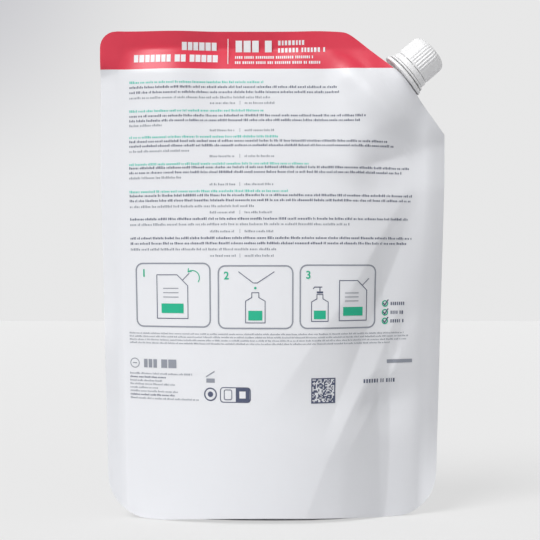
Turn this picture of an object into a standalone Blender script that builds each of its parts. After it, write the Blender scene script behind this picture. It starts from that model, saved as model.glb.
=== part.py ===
# A stand-up refill pouch with a spout in its upper corner, its tamper band and its screw cap.
# Metres, +Z up. The origin is on the floor under the middle of the pouch. The text side faces -Y.

import math

import bmesh
import bpy
import numpy as np

mm = 0.001

# The film's outline, seen square on
pouch_height = 215.3 * mm
half_width = 76.5 * mm
foot_half_width = 72.3 * mm
taper_height = 150 * mm
top_corner_radius = 7.5 * mm
foot_corner_radius = 18 * mm
shoulder_run = 44 * mm
shoulder_drop = 46 * mm
shoulder_crown = 3.7 * mm
shoulder_round = 1 * mm
shoulder_overrun = 0.6
crown_blunting = 0.1
seal_width = 7.8 * mm
seal_thickness = 0.4 * mm
film_thickness = 0.4 * mm
band_height = 16.5 * mm

# The filled body
belly_depth = 41 * mm
belly_height = 33 * mm
foot_depth = 38 * mm
slack_depth = 8 * mm
crease_fade = 0.2

# The bottom gusset: two plies of film hang below its seal as a skirt
skirt_middle = 8 * mm
skirt_side = 40 * mm
skirt_arch = 2.2 * mm
arch_half_length = 50 * mm
arch_end = 2 * mm
gusset_margin = 5.2 * mm
rest_half_length = 44 * mm
rest_press = 1.2 * mm
seam_curve = 2.2
cut_through = 5 * mm
arch_overlap = 1.5 * mm

# The spout, along its own axis. Heights along it start at the film's edge and run outward.
spout_lean = math.radians(2.9)
bore_diameter = 8.6 * mm
boat_length = 32 * mm
boat_thickness = 11.6 * mm
boat_depth = 11 * mm
boat_setback = 2.5 * mm
boat_tip = 0.8 * mm
boat_fullness = 1.6
weld_rib_height = 0.35 * mm
weld_ribs = 4
bulge_length = 46 * mm
bulge_fullness = 2
bulge_fade = 26 * mm
root_diameter = 11 * mm
flange_base = 0.35 * mm
flange_diameter = 21.7 * mm
flange_thickness = 1.4 * mm
flange_groove = 0.6 * mm
guide_diameter = 20.4 * mm
guide_thickness = 0.9 * mm
neck_diameter = 12.4 * mm
bead_height = 0.7 * mm
neck_round = 0.5 * mm
small_round = 0.3 * mm

# The tamper band and the cap
fit_gap = 0.3 * mm
thread_space_diameter = 15 * mm
band_diameter = 18.6 * mm
band_length = 2.55 * mm
cap_diameter = 18.1 * mm
cap_length = 11.9 * mm
cap_top = 1.3 * mm
cap_edge_radius = 4 * mm
ceiling_chamfer = 1.5 * mm
plug_length = 3 * mm
plug_wall = 1 * mm
grip_groups = 4
grips_in_group = 6
grip_pitch = math.radians(9)
grip_width = 0.7 * mm
grip_depth = 0.3 * mm
grip_root = 0.6 * mm
grip_margin = 0.8 * mm
grip_sweep = math.radians(60)

# How finely the shapes are divided, and how near is the same place
shoulder_steps = 200
even_columns = 28
corner_steps = 7
body_rows = 26
seal_rows = 3
gusset_across = 12
arch_stations = 18
boat_stations = 20
turned_steps = 40
grip_steps = 4
same_place = 0.001 * mm
sharp_edge = math.radians(40)

# The creases of the slack film in mm, each from its upper to its lower end, as (across, height).
# left and right are the widths of its two slopes along it, and bow is how far each slope swells.
front_creases = [
    dict(start=(76, 165), end=(20.5, 30), depth=3.4, left=(4, 13, 30), right=(5, 22, 12), bow=(0, 0.6)),
    dict(start=(65, 100), end=(43.5, 37), depth=1.8, left=(4, 9), right=(10, 26), bow=(0, 1)),
    dict(start=(47.5, 66), end=(51.5, -16), depth=4, left=(3, 26, 44), right=(26, 26), bow=(0, 1)),
]
rear_creases = [
    dict(start=(82, 172), end=(40, 143), depth=2.4, left=(14, 20), right=(8, 14), bow=(-0.5, -0.5)),
    dict(start=(-60, 123), end=(-4, 37), depth=1.6, left=(12, 16), right=(10, 16), bow=(-0.5, -0.5)),
]

film_colour = (0.84, 0.85, 0.88)
band_colour = (0.70, 0.05, 0.10)
moulding_colour = (0.86, 0.86, 0.87)


def clear_scene():
    for obj in list(bpy.data.objects):
        bpy.data.objects.remove(obj)


def new_collection(name):
    collection = bpy.data.collections.new(name)
    bpy.context.scene.collection.children.link(collection)
    return collection


def new_material(name, colour, roughness):
    material = bpy.data.materials.new(name)
    material.use_nodes = True
    shader = material.node_tree.nodes["Principled BSDF"]
    shader.inputs["Base Color"].default_value = (*colour, 1)
    shader.inputs["Roughness"].default_value = roughness
    shader.inputs["Metallic"].default_value = 0
    return material


def new_object(name, shape, collection):
    """An object from a finished bmesh."""
    mesh = bpy.data.meshes.new(name)
    shape.to_mesh(mesh)
    shape.free()
    obj = bpy.data.objects.new(name, mesh)
    collection.objects.link(obj)
    return obj


def as_cutter(obj):
    obj.hide_render = True
    obj.display_type = "WIRE"
    return obj


def combine(obj, operation, other):
    modifier = obj.modifiers.new(operation.title() + " " + other.name, "BOOLEAN")
    modifier.operation = operation
    modifier.object = other
    modifier.solver = "EXACT"


def weld(obj):
    """Joins the points that the cuts leave a hair apart."""
    modifier = obj.modifiers.new("Weld", "WELD")
    modifier.merge_threshold = 0.01 * mm


def ease(value):
    """0 below 0 and 1 above 1, with a smooth step between."""
    value = np.clip(value, 0, 1)
    return value * value * (3 - 2 * value)


def lower_of(one, other):
    """The lower of two heights, with the corner between them rounded."""
    middle, half = (one + other) / 2, (one - other) / 2
    return middle - np.sqrt(half**2 + shoulder_round**2)


def half_width_at(height):
    """The pouch draws in towards its foot."""
    above = np.clip(height / taper_height, 0, 1)
    return foot_half_width + (half_width - foot_half_width) * above


def shoulder_direction():
    """Unit vectors in the outline's plane: down along the shoulder, and out of it."""
    length = math.hypot(shoulder_run, shoulder_drop)
    along = np.array([shoulder_run, -shoulder_drop]) / length
    return along, np.array([-along[1], along[0]]), length


def shoulder_line(inset):
    """Points of the sloping edge, moved in by inset. It has a blunt corner at the spout."""
    along, out, length = shoulder_direction()
    place = np.linspace(-shoulder_overrun, 1 + shoulder_overrun, shoulder_steps + 1)[:, None]
    from_middle = np.sqrt((2 * place - 1) ** 2 + crown_blunting**2)
    start = np.array([half_width - shoulder_run, pouch_height])
    crown = shoulder_crown * (1 + crown_blunting - from_middle)
    return start + along * length * place + out * (crown - inset)


def top_at(across, inset=0.0):
    """Height of the film's upper edge, or of a line that lies inset below it."""
    line = shoulder_line(inset)
    slope = np.interp(across, line[:, 0], line[:, 1])
    top = lower_of(np.full_like(slope, pouch_height - inset), slope)
    radius = top_corner_radius
    from_edge = np.clip(radius - (half_width - inset + across), 0, radius)
    return top - radius + np.sqrt(radius**2 - from_edge**2)


def bottom_at(across):
    radius = foot_corner_radius
    from_edge = np.clip(radius - (half_width - np.abs(across)), 0, radius)
    return radius - np.sqrt(radius**2 - from_edge**2)


def spout_place():
    """Middle of the film's edge under the spout, and the spout's axis, as (across, height)."""
    along, out, length = shoulder_direction()
    corner = np.array([half_width - shoulder_run, pouch_height])
    middle = corner + along * length / 2 + out * shoulder_crown
    angle = math.atan2(out[1], out[0]) - spout_lean
    return middle, np.array([math.cos(angle), math.sin(angle)])


def boat_profile(along, length, thickness, tip, fullness):
    """Half thickness of the weld base, which is pointed at both ends like a boat."""
    share = np.clip(1 - np.abs(2 * along / length) ** fullness, 0, 1)
    return tip / 2 + (thickness - tip) / 2 * share


def spout_bulge(across, height):
    """Half depth to which the weld base holds the two films apart."""
    middle, axis = spout_place()
    right, up = across - middle[0], height - middle[1]
    below = -(right * axis[0] + up * axis[1])
    along = right * axis[1] - up * axis[0]
    held = boat_thickness + 2 * (fit_gap + film_thickness)
    fade = 1 - ease((below - boat_setback - boat_depth) / bulge_fade)
    return boat_profile(along, bulge_length, held, 0, bulge_fullness) * fade


def crease_relief(creases, across, height):
    """How far the creases push the film in."""
    relief = 0 * (across + height)
    for crease in creases:
        start, end = np.array(crease["start"]) * mm, np.array(crease["end"]) * mm
        length = math.hypot(*(end - start))
        along = (end - start) / length
        place = ((across - start[0]) * along[0] + (height - start[1]) * along[1]) / length
        sideways = (height - start[1]) * along[0] - (across - start[0]) * along[1]
        left = np.interp(place, np.linspace(0, 1, len(crease["left"])), crease["left"]) * mm
        right = np.interp(place, np.linspace(0, 1, len(crease["right"])), crease["right"]) * mm
        slope = 1 - np.clip(np.where(sideways > 0, sideways / right, -sideways / left), 0, 1)
        bow = np.where(sideways > 0, crease["bow"][1], crease["bow"][0])
        ends = ease(place / crease_fade) * ease((1 - place) / crease_fade)
        relief += crease["depth"] * mm * ends * slope * (1 + bow * (1 - slope))
    return relief


def half_depth(across, height, creases):
    """Distance of the film from the pouch's middle plane."""
    side = np.clip(1 - (across / (half_width - seal_width)) ** 2, 0, 1)
    full_height = top_at(across, seal_width) - belly_height
    above = np.clip((height - belly_height) / full_height, 0, 1)
    below = np.clip((belly_height - height) / belly_height, 0, 1)
    filled = (belly_depth * (1 - above**2) - (belly_depth - foot_depth) * below**2) / 2 * side
    slack = np.clip(filled / slack_depth, 0, 1)
    filled = np.maximum(filled - crease_relief(creases, across, height) * slack, 0)
    bulge = spout_bulge(across, height)
    return seal_thickness / 2 + (filled**3 + bulge**3) ** (1 / 3)


def film_columns():
    """Places across the pouch, closer together round its corners, with one at each side seal."""
    turn = np.linspace(0, math.pi / 2, corner_steps + 1)
    from_edge = foot_corner_radius * (1 - np.cos(turn))
    from_edge[np.argmin(np.abs(from_edge - seal_width))] = seal_width
    inner = half_width - foot_corner_radius
    even = np.linspace(-inner, inner, even_columns)
    return np.concatenate([from_edge[:-1] - half_width, even, (half_width - from_edge[:-1])[::-1]])


def placed(across, depth, height):
    """Points in space, drawn in towards the foot as the film is."""
    across, depth, height = np.broadcast_arrays(across, depth, height)
    return np.stack([across * half_width_at(height) / half_width, depth, height], axis=-1)


def film_grid(side, creases):
    """Points of one film, by column and by row. side is -1 for the front and 1 for the rear."""
    across = film_columns()[:, None]
    bottom, top, inner_top = bottom_at(across), top_at(across), top_at(across, seal_width)
    body = bottom + (inner_top - bottom) * np.linspace(0, 1, body_rows + 1)
    seal = inner_top + (top - inner_top) * np.linspace(0, 1, seal_rows + 1)
    height = np.concatenate([body, seal[:, 1:]], axis=1)
    return placed(across, side * half_depth(across, height, creases), height)


def joined_sheets(one, other, shape=None):
    """One closed body from two grids of points, joined round their edges.

    Its faces are triangles, because a bent quad has no exact plane for a Boolean to cut."""
    shape = shape or bmesh.new()
    sheets = [[[shape.verts.new(point) for point in line] for line in grid] for grid in (one, other)]
    lines, points = one.shape[0], one.shape[1]
    for sheet in sheets:
        for i in range(lines - 1):
            for k in range(points - 1):
                shape.faces.new((sheet[i][k], sheet[i + 1][k], sheet[i + 1][k + 1], sheet[i][k + 1]))
    rim = [(i, 0) for i in range(lines)]
    rim += [(lines - 1, k) for k in range(1, points)]
    rim += [(i, points - 1) for i in reversed(range(lines - 1))]
    rim += [(0, k) for k in reversed(range(1, points - 1))]
    near, far = sheets
    for (i, k), (m, n) in zip(rim, rim[1:] + rim[:1]):
        shape.faces.new((near[i][k], near[m][n], far[m][n], far[i][k]))
    bmesh.ops.recalc_face_normals(shape, faces=shape.faces)
    bmesh.ops.triangulate(shape, faces=[face for face in shape.faces if len(face.verts) > 3])
    return shape


def columns_within(reach):
    """The film's own columns, so that a cut's walls run parallel to the film."""
    inside = [x for x in film_columns() if abs(x) < reach - mm]
    return np.array([-reach, *inside, reach])[:, None]


def make_gusset_hollow(collection):
    """The hollow under the gusset. It leaves the skirt round it, and the middle flat on the floor."""
    reach = half_width - seal_width - gusset_margin
    across = columns_within(reach)
    share = np.linspace(-1, 1, gusset_across + 1)
    seam = skirt_middle + (skirt_side - skirt_middle) * (np.abs(across) / reach) ** seam_curve
    lift = ease((np.abs(across) - rest_half_length) / (reach - rest_half_length))
    sag = (seam + rest_press) * (1 - lift) + film_thickness * lift

    def wall(height):
        front = half_depth(across, height, front_creases) - film_thickness
        rear = half_depth(across, height, rear_creases) - film_thickness
        return share * np.where(share < 0, front, rear)

    floor = placed(across, wall(0 * across), -cut_through)
    roof = placed(across, wall(seam), seam - sag * (1 - share**4))
    return as_cutter(new_object("gusset_hollow", joined_sheets(floor, roof), collection))


def make_skirt_arch(collection):
    """What the skirt's lower edge lacks in the middle, at the front and at the rear."""
    across = np.linspace(-1, 1, arch_stations)[:, None] * (arch_half_length + arch_end)
    height = skirt_arch * (1 - (across / arch_half_length) ** 2)
    shape = bmesh.new()
    for side, creases in ((-1, front_creases), (1, rear_creases)):
        inside = half_depth(across, 0 * across, creases) - film_thickness - arch_overlap
        depth = side * np.hstack([inside, belly_depth + 0 * across])
        joined_sheets(placed(across, depth, -cut_through), placed(across, depth, height), shape)
    return as_cutter(new_object("skirt_arch", shape, collection))


def boat_shape(grown, levels):
    """A closed body with the weld base's outline, grown by this and by each level's rib."""
    along = np.linspace(-1, 1, boat_stations + 1) * boat_length / 2
    depth = boat_profile(along, boat_length, boat_thickness - 2 * weld_rib_height, boat_tip, boat_fullness)
    one, other = [], []
    for height, rib in levels:
        more = grown + rib
        stretched = along * (1 + 2 * more / boat_length)
        one.append([(x, -y - more, height) for x, y in zip(stretched, depth)])
        other.append([(x, y + more, height) for x, y in zip(stretched, depth)])
    return joined_sheets(np.array(one), np.array(other))


def make_boat(name, collection):
    """The weld base, with ribs along it that bite into the film's seal."""
    bottom, top = -boat_setback - boat_depth, -boat_setback
    pitch = boat_depth / (2 * weld_ribs + 1)
    levels = [(bottom, 0)]
    for i in range(weld_ribs):
        base = bottom + pitch * (2 * i + 1)
        levels += [(base, 0), (base, weld_rib_height), (base + pitch, weld_rib_height), (base + pitch, 0)]
    levels.append((top, 0))
    return new_object(name, boat_shape(0, levels), collection)


def turned(name, profile, collection):
    """A turned body from (radius, height) points, which run down its outer side."""
    shape = bmesh.new()
    points = [shape.verts.new((radius, 0, height)) for radius, height in profile]
    closed = profile[0][0] > 0
    for one, other in zip(points, points[1:] + points[:1] if closed else points[1:]):
        shape.edges.new((one, other))
    obj = new_object(name, shape, collection)
    screw = obj.modifiers.new("Turn", "SCREW")
    screw.axis = "Z"
    screw.angle = 2 * math.pi
    screw.steps = turned_steps
    screw.render_steps = turned_steps
    screw.use_merge_vertices = True
    screw.merge_threshold = 0.00001
    screw.use_smooth_shade = True
    return obj


def upper_round(radius, height, size, steps):
    """Points of a rounded upper edge, down to this radius, from this height."""
    turn = [math.pi / 2 * i / steps for i in range(steps + 1)]
    return [(radius - size * (1 - math.sin(a)), height - size * (1 - math.cos(a))) for a in turn]


def lower_round(radius, height, size, steps):
    """Points of a rounded lower edge, from this radius down to this height."""
    return [(r, 2 * height - z) for r, z in reversed(upper_round(radius, height, size, steps))]


def disc_edge(diameter, base, thickness):
    """The outer side of a flange, with both its edges rounded."""
    radius = diameter / 2
    return [
        *upper_round(radius, base + thickness, small_round, 2),
        *lower_round(radius, base, small_round, 2),
    ]


def guide_base():
    return flange_base + flange_thickness + flange_groove


def band_base():
    return guide_base() + guide_thickness + fit_gap


def cap_base():
    return band_base() + band_length + fit_gap


def neck_top():
    return cap_base() + cap_length - cap_top - fit_gap


def neck_profile():
    neck, groove = neck_diameter / 2, thread_space_diameter / 2
    bead = thread_space_diameter / 2 - fit_gap
    bead_base = band_base() + band_length
    return [
        (0, neck_top()),
        *upper_round(neck, neck_top(), neck_round, 2),
        (neck, bead_base + bead_height + bead - neck),
        (bead, bead_base + bead_height),
        (bead, bead_base),
        (neck, bead_base),
        (neck, guide_base() + guide_thickness),
        *disc_edge(guide_diameter, guide_base(), guide_thickness),
        (groove, guide_base()),
        (groove, flange_base + flange_thickness),
        *disc_edge(flange_diameter, flange_base, flange_thickness),
        (root_diameter / 2, flange_base),
        (root_diameter / 2, -2 * boat_setback),
        (0, -2 * boat_setback),
    ]


def new_rod(name, diameter, base, top, collection):
    shape = bmesh.new()
    bmesh.ops.create_cone(
        shape,
        cap_ends=True,
        segments=turned_steps,
        radius1=diameter / 2,
        radius2=diameter / 2,
        depth=top - base,
    )
    bmesh.ops.translate(shape, vec=(0, 0, (top + base) / 2), verts=shape.verts)
    return as_cutter(new_object(name, shape, collection))


def make_spout(name, collection, cutters):
    spout = make_boat(name, collection)
    neck = as_cutter(turned("spout_neck", neck_profile(), cutters))
    bottom = -boat_setback - boat_depth
    bore = new_rod("spout_bore", bore_diameter, bottom - cut_through, neck_top() + cut_through, cutters)
    combine(spout, "UNION", neck)
    combine(spout, "DIFFERENCE", bore)
    return spout, [neck, bore]


def make_pocket(cutters):
    """The room in the pouch for the weld base, and the slot in its edge for the spout's root."""
    bottom = -boat_setback - boat_depth - fit_gap
    levels = [(bottom, 0), (fit_gap - boat_setback, 0)]
    pocket = as_cutter(new_object("boat_pocket", boat_shape(fit_gap + weld_rib_height, levels), cutters))
    root = new_rod("root_slot", root_diameter + 2 * fit_gap, -2 * boat_setback, flange_base, cutters)
    return [pocket, root]


def make_tamper_band(name, collection):
    outer, inner = band_diameter / 2, thread_space_diameter / 2
    profile = [
        (inner, band_length),
        *upper_round(outer, band_length, small_round, 2),
        *lower_round(outer, 0, small_round, 2),
        (inner, 0),
    ]
    return turned(name, profile, collection)


def cap_profile():
    outer, inner = cap_diameter / 2 - grip_depth, thread_space_diameter / 2
    plug = bore_diameter / 2 - fit_gap
    ceiling = cap_length - cap_top
    return [
        (0, cap_length),
        *upper_round(outer, cap_length, cap_edge_radius - grip_depth, 5),
        (outer, 0),
        (inner, 0),
        (inner, ceiling - ceiling_chamfer),
        (inner - ceiling_chamfer, ceiling),
        (plug, ceiling),
        (plug, ceiling - plug_length + small_round),
        (plug - small_round, ceiling - plug_length),
        (plug - plug_wall, ceiling - plug_length),
        (plug - plug_wall, ceiling),
        (0, ceiling),
    ]


def grip_edges():
    """The outer and the inner edge of a grip rib, as (radius, height) points."""
    middle = np.array([cap_diameter / 2 - cap_edge_radius, cap_length - cap_edge_radius])
    turn = np.linspace(0, grip_sweep, grip_steps + 1)
    normals = np.stack([np.cos(turn), np.sin(turn)], axis=1)
    edges = []
    for size in (cap_edge_radius, cap_edge_radius - grip_depth - grip_root):
        rounded = middle + normals * size
        edges.append([(rounded[0][0], grip_margin), *rounded])
    return edges


def make_grips(collection):
    """The cap's grip ribs, which follow its rounded edge. They stand in groups."""
    shape = bmesh.new()
    for i in range(grip_groups * grips_in_group):
        group, place = divmod(i, grips_in_group)
        angle = 2 * math.pi * group / grip_groups + grip_pitch * (place - (grips_in_group - 1) / 2)
        out = np.array([math.cos(angle), math.sin(angle), 0])
        across = np.array([-out[1], out[0], 0]) * grip_width / 2
        walls = []
        for side in (-across, across):
            outer, inner = (
                [radius * out + side + (0, 0, height) for radius, height in edge] for edge in grip_edges()
            )
            walls.append(np.array([outer, inner]))
        joined_sheets(*walls, shape)
    return as_cutter(new_object("cap_grips", shape, collection))


def make_pouch(name, collection, cutters):
    shape = joined_sheets(film_grid(-1, front_creases), film_grid(1, rear_creases))
    foot = [face for face in shape.faces if max(vertex.co.z for vertex in face.verts) < same_place]
    bmesh.ops.dissolve_faces(shape, faces=foot)
    band_edge = pouch_height - band_height
    bmesh.ops.bisect_plane(
        shape,
        geom=[*shape.verts, *shape.edges, *shape.faces],
        dist=same_place / 10,
        plane_co=(0, 0, band_edge),
        plane_no=(0, 0, 1),
    )
    for face in shape.faces:
        face.smooth = True
        face.material_index = int(face.calc_center_median().z > band_edge)
    pouch = new_object(name, shape, collection)
    pouch.data.set_sharp_from_angle(angle=sharp_edge)
    combine(pouch, "DIFFERENCE", make_gusset_hollow(cutters))
    combine(pouch, "DIFFERENCE", make_skirt_arch(cutters))
    return pouch


def make_parts():
    parts = new_collection("refill_pouch")
    cutters = new_collection("cutters")
    middle, axis = spout_place()

    spout_axis = bpy.data.objects.new("spout_axis", None)
    spout_axis.location = (middle[0], 0, middle[1])
    spout_axis.rotation_euler = (0, math.atan2(axis[0], axis[1]), 0)
    parts.objects.link(spout_axis)

    pouch = make_pouch("pouch", parts, cutters)
    pocket_tools = make_pocket(cutters)
    for tool in pocket_tools:
        combine(pouch, "DIFFERENCE", tool)
    weld(pouch)
    spout, spout_tools = make_spout("spout_fitment", parts, cutters)
    band = make_tamper_band("tamper_band", parts)
    cap = turned("screw_cap", cap_profile(), parts)
    grips = make_grips(cutters)
    combine(cap, "UNION", grips)

    for obj in (*pocket_tools, spout, *spout_tools, band, cap, grips):
        obj.parent = spout_axis
    band.location.z = band_base()
    cap.location.z = grips.location.z = cap_base()

    pouch.data.materials.append(new_material("film", film_colour, 0.35))
    pouch.data.materials.append(new_material("film_band", band_colour, 0.35))
    spout.data.materials.append(new_material("spout_plastic", moulding_colour, 0.45))
    band.data.materials.append(new_material("band_plastic", moulding_colour, 0.45))
    cap.data.materials.append(new_material("cap_plastic", moulding_colour, 0.45))


clear_scene()
make_parts()
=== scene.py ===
# A stand-up refill pouch with a corner spout: its film, print, spout, tamper band and screw cap.
# Sizes are in millimetres unless a note says otherwise, and each mesh is turned into metres once.

import math
import random

import bmesh
import bpy
import numpy as np
from mathutils import Matrix, Vector


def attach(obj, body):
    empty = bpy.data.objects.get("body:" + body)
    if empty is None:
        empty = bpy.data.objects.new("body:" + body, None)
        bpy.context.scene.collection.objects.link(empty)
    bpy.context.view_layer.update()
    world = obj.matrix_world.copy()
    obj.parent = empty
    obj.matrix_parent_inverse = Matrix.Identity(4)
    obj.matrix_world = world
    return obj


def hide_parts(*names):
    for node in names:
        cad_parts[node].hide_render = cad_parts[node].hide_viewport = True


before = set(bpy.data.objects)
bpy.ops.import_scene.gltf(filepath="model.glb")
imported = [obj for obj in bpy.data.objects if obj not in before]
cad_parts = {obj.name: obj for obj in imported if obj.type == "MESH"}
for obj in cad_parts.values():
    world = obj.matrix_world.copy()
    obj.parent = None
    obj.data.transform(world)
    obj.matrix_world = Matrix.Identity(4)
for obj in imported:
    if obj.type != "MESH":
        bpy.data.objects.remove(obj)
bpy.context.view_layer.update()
metre = 0.001  # one millimetre


# Shader helpers

def newMaterial(name):
    material = bpy.data.materials.new(name)
    material.use_nodes = True
    return material, material.node_tree, material.node_tree.nodes["Principled BSDF"]


def addNode(tree, kind, **settings):
    node = tree.nodes.new("ShaderNode" + kind)
    for key, value in settings.items():
        setattr(node, key, value)
    return node


def put(node, label, value):
    node.inputs[label].default_value = value


def join(tree, source, output, target, label):
    tree.links.new(source.outputs[output], target.inputs[label])


def newGroup(name, inputs, outputs):
    group = bpy.data.node_groups.new(name, "ShaderNodeTree")
    for label, kind, value in inputs:
        socket = group.interface.new_socket(label, in_out="INPUT", socket_type="NodeSocket" + kind)
        socket.default_value = value
    for label, kind in outputs:
        group.interface.new_socket(label, in_out="OUTPUT", socket_type="NodeSocket" + kind)
    return group, group.nodes.new("NodeGroupInput"), group.nodes.new("NodeGroupOutput")


def placeGroup(tree, group, **values):
    node = addNode(tree, "Group", node_tree=group)
    for label, value in values.items():
        put(node, label, value)
    return node


filmSkin = dict(
    softScale=38, softDetail=2, fineScale=420, fineDetail=4, streakTurn=35, streakStretch=0.35,
    cloudLow=0.94, roughLow=0.27, roughHigh=0.37, fineShare=0.25, softShare=1.0, reliefDistance=0.0006,
    coatRoughness=0.3, inkMottle=0.6, inkDull=0.15,
)


# Fine creases and soft dents of a laminated film, as a height for a Bump node
def makeCrinkleGroup():
    inputs = [
        ("Fine", "Float", 1.0),
        ("Soft", "Float", 1.0),
        ("Color", "Color", (1, 1, 1, 1)),
        ("Mottle", "Float", 0.02),
        ("Dull", "Float", 0.0),
    ]
    outputs = [("Height", "Float"), ("Tint", "Color"), ("Rough", "Float")]
    group, given, made = newGroup("filmCrinkle", inputs, outputs)
    place = addNode(group, "NewGeometry")
    soft = addNode(group, "TexNoise")
    put(soft, "Scale", filmSkin["softScale"])
    put(soft, "Detail", filmSkin["softDetail"])
    fine = addNode(group, "TexNoise")
    put(fine, "Scale", filmSkin["fineScale"])
    put(fine, "Detail", filmSkin["fineDetail"])
    streak = addNode(group, "Mapping")
    put(streak, "Rotation", (0, math.radians(filmSkin["streakTurn"]), 0))
    put(streak, "Scale", (1, 1, filmSkin["streakStretch"]))
    softPart = addNode(group, "Math", operation="MULTIPLY")
    finePart = addNode(group, "Math", operation="MULTIPLY")
    total = addNode(group, "Math", operation="ADD")
    join(group, place, "Position", streak, "Vector")
    join(group, streak, "Vector", soft, "Vector")
    join(group, place, "Position", fine, "Vector")
    join(group, soft, "Fac", softPart, 0)
    join(group, given, "Soft", softPart, 1)
    join(group, fine, "Fac", finePart, 0)
    join(group, given, "Fine", finePart, 1)
    join(group, softPart, 0, total, 0)
    join(group, finePart, 0, total, 1)
    join(group, total, 0, made, "Height")
    shade = addNode(group, "Mix", data_type="RGBA", blend_type="MULTIPLY")
    cloud = addNode(group, "MapRange")
    put(cloud, "To Min", filmSkin["cloudLow"])
    put(cloud, "To Max", 1.0)
    join(group, soft, "Fac", cloud, "Value")
    join(group, cloud, "Result", shade, "B")
    join(group, given, "Mottle", shade, "Factor")
    join(group, given, "Color", shade, "A")
    join(group, shade, "Result", made, "Tint")
    rough = addNode(group, "MapRange")
    put(rough, "To Min", filmSkin["roughLow"])
    put(rough, "To Max", filmSkin["roughHigh"])
    duller = addNode(group, "Math", operation="ADD")
    join(group, fine, "Fac", rough, "Value")
    join(group, rough, "Result", duller, 0)
    join(group, given, "Dull", duller, 1)
    join(group, duller, 0, made, "Rough")
    return group


mouldedSkin = dict(
    peelDetail=3, cloudScale=120, shadeLow=0.96, roughLow=0.36, roughHigh=0.46,
    reliefStrength=0.1, reliefDistance=0.00002,
)


# Moulded polyethylene: a faint orange peel and a slightly uneven gloss
def makeMouldedGroup():
    inputs = [("Color", "Color", (1, 1, 1, 1)), ("Scale", "Float", 900.0)]
    outputs = [("Height", "Float"), ("Tint", "Color"), ("Rough", "Float")]
    group, given, made = newGroup("mouldedSkin", inputs, outputs)
    place = addNode(group, "NewGeometry")
    peel = addNode(group, "TexNoise")
    put(peel, "Detail", mouldedSkin["peelDetail"])
    cloud = addNode(group, "TexNoise")
    put(cloud, "Scale", mouldedSkin["cloudScale"])
    join(group, place, "Position", peel, "Vector")
    join(group, place, "Position", cloud, "Vector")
    join(group, given, "Scale", peel, "Scale")
    join(group, peel, "Fac", made, "Height")
    dim = addNode(group, "MapRange")
    put(dim, "To Min", mouldedSkin["shadeLow"])
    put(dim, "To Max", 1.0)
    shade = addNode(group, "Mix", data_type="RGBA", blend_type="MULTIPLY")
    put(shade, "Factor", 1)
    join(group, cloud, "Fac", dim, "Value")
    join(group, given, "Color", shade, "A")
    join(group, dim, "Result", shade, "B")
    join(group, shade, "Result", made, "Tint")
    rough = addNode(group, "MapRange")
    put(rough, "To Min", mouldedSkin["roughLow"])
    put(rough, "To Max", mouldedSkin["roughHigh"])
    join(group, cloud, "Fac", rough, "Value")
    join(group, rough, "Result", made, "Rough")
    return group


crinkleGroup = makeCrinkleGroup()
mouldedGroup = makeMouldedGroup()


def placeCrinkle(tree, colour, mottle, dull):
    shares = dict(Fine=filmSkin["fineShare"], Soft=filmSkin["softShare"])
    return placeGroup(tree, crinkleGroup, Color=(*colour, 1), Mottle=mottle, Dull=dull, **shares)


def makeFilmMaterial(name, colour, mottle, bump, dull, coat):
    material, tree, shader = newMaterial(name)
    crinkle = placeCrinkle(tree, colour, mottle, dull)
    relief = addNode(tree, "Bump")
    put(relief, "Strength", bump)
    put(relief, "Distance", filmSkin["reliefDistance"])
    join(tree, crinkle, "Height", relief, "Height")
    join(tree, crinkle, "Tint", shader, "Base Color")
    join(tree, crinkle, "Rough", shader, "Roughness")
    join(tree, relief, "Normal", shader, "Normal")
    put(shader, "Coat Weight", coat)
    put(shader, "Coat Roughness", filmSkin["coatRoughness"])
    return material


def makeMouldedMaterial(name, colour, scale):
    material, tree, shader = newMaterial(name)
    skin = placeGroup(tree, mouldedGroup, Color=(*colour, 1), Scale=scale)
    relief = addNode(tree, "Bump")
    put(relief, "Strength", mouldedSkin["reliefStrength"])
    put(relief, "Distance", mouldedSkin["reliefDistance"])
    join(tree, skin, "Height", relief, "Height")
    join(tree, skin, "Tint", shader, "Base Color")
    join(tree, skin, "Rough", shader, "Roughness")
    join(tree, relief, "Normal", shader, "Normal")
    return material


def addObject(name, data):
    made = bpy.data.objects.new(name, data)
    bpy.context.scene.collection.objects.link(made)
    return made


def addPiece(name, shape, materials, body):
    mesh = bpy.data.meshes.new(name)
    shape.to_mesh(mesh)
    shape.free()
    piece = addObject(name, mesh)
    for material in materials:
        mesh.materials.append(material)
    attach(piece, body)
    return piece


# The film: its outline, its filled body and its folds

film = dict(
    height=215.3, halfWidth=76.5, footHalfWidth=72.3, taperHeight=150, topCorner=7.5, footCorner=18,
    shoulderRun=44, shoulderDrop=46, shoulderCrown=3.7, shoulderRound=1, crownBlunting=0.1,
    shoulderOverrun=0.6, shoulderSamples=401,
    sealWidth=7.8, sealThickness=0.4, wall=0.4, bandHeight=17, lipDepth=4,
    bellyDepth=41, bellyHeight=33, footDepth=38, slackDepth=8, creaseFade=0.2,
    columns=150, cornerColumns=12, bodyRows=200, sealRows=7, skirtRows=8, sharpAngle=45,
)

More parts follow.
